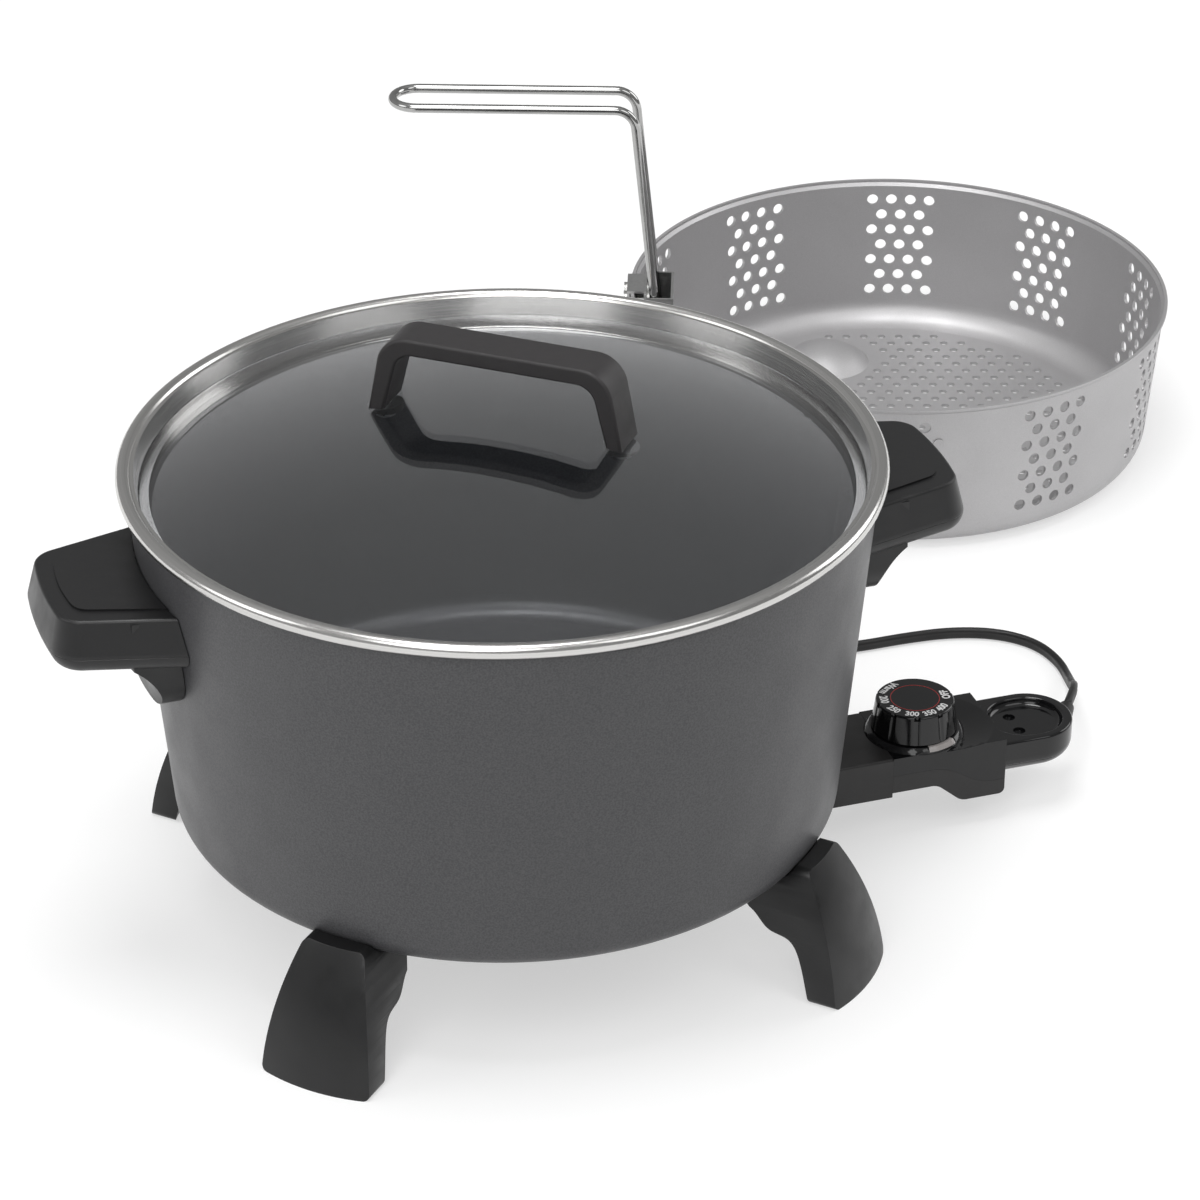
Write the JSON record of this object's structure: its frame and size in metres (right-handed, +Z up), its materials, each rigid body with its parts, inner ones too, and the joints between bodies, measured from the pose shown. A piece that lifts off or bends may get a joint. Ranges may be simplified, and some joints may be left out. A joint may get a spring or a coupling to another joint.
{
  "type": "multicooker",
  "caption": "Electric multicooker: coated pot on legs with a domed glass lid, side handles and a plug-in heat control, with a perforated basket and its wire handle beside it.",
  "frame": {"origin": "on the pot's axis, in the plane of the counter that the legs and the basket stand on", "axes": "+Z up; +X along the two side handles, towards the heat control; -Y towards the cook"},
  "size_m": [0.6157, 0.6064, 0.2455],
  "materials": {
    "pot_coating": "satin speckled coating",
    "element_sheath": "dull heat-stained",
    "cast_aluminium": "as cast",
    "pin_steel": "polished",
    "bead_ceramic": "unglazed ceramic",
    "guard_steel": "plain sheet",
    "screw_steel": "zinc plated",
    "leg_plastic": "satin moulding",
    "handle_plastic": "satin moulding",
    "lid_glass": "clear",
    "lid_steel": "polished sheet",
    "lid_handle_plastic": "fine matte moulding",
    "washer_rubber": "matte",
    "nose_plastic": "matte moulding",
    "control_gloss": "glossy moulding",
    "control_matte": "matte moulding",
    "probe_steel": "drawn tube",
    "contact_brass": "plain",
    "switch_plastic": "moulded resin",
    "lens_plastic": "clear pale lens",
    "cord_rubber": "satin sheath",
    "tie_plastic": "matte",
    "dial_gloss": "glossy moulding with white numbers",
    "basket_aluminium": "satin",
    "bracket_steel": "bent sheet",
    "rivet_aluminium": "plain",
    "wire_chrome": "bright plated wire"
  },
  "bodies": {
    "cooker": {"pot": "pot_coating", "heating_element": "element_sheath", "probe_well": "cast_aluminium", "terminal_pins": "pin_steel", "terminal_insulators": "bead_ceramic", "terminal_guard": "guard_steel", "guard_screws": "screw_steel", "leg_front_left": "leg_plastic", "leg_front_right": "leg_plastic", "leg_back_left": "leg_plastic", "leg_back_right": "leg_plastic", "leg_studs": "cast_aluminium", "leg_screws": "screw_steel", "handle_left": "handle_plastic", "handle_right": "handle_plastic", "handle_studs": "cast_aluminium", "handle_screws": "screw_steel"},
    "lid": {"lid_glass": "lid_glass", "lid_rim": "lid_steel", "lid_handle": "lid_handle_plastic", "lid_washers": "washer_rubber", "lid_screws": "screw_steel"},
    "control": {"control_nose": "nose_plastic", "control_top": "control_gloss", "control_bottom": "control_matte", "control_screws": "screw_steel", "probe": "probe_steel", "socket_contacts": "contact_brass", "thermostat": "switch_plastic", "pilot_lens": "lens_plastic", "cord_boot": "cord_rubber", "cord": "cord_rubber", "cord_coil": "cord_rubber", "cord_tie": "tie_plastic", "plug": "cord_rubber", "plug_blades": "contact_brass"},
    "dial": {"dial": "dial_gloss", "dial_shaft": "screw_steel"},
    "basket": {"basket": "basket_aluminium", "basket_bracket": "bracket_steel", "basket_rivets": "rivet_aluminium"},
    "basket_handle": {"basket_handle": "wire_chrome"}
  },
  "joints": [
    {"name": "lid_lift", "type": "slide", "parent": "cooker", "child": "lid", "axis": [0, 0, 1], "range_m": [0, 0.2]},
    {"name": "control_pull", "type": "slide", "parent": "cooker", "child": "control", "axis": [1, 0, 0], "range_m": [0, 0.09]},
    {"name": "dial_turn", "type": "hinge", "parent": "control", "child": "dial", "pos_m": [0.1777, 0, 0.0423], "axis": [0, 0, 1], "range_deg": [-282, 0]},
    {"name": "basket_lift", "type": "slide", "parent": "cooker", "child": "basket", "axis": [0, 0, 1], "range_m": [0, 0.3]},
    {"name": "handle_draw", "type": "slide", "parent": "basket", "child": "basket_handle", "axis": [-0.0982, 0.0358, 0.9945], "range_m": [0, 0.06]}
  ]
}
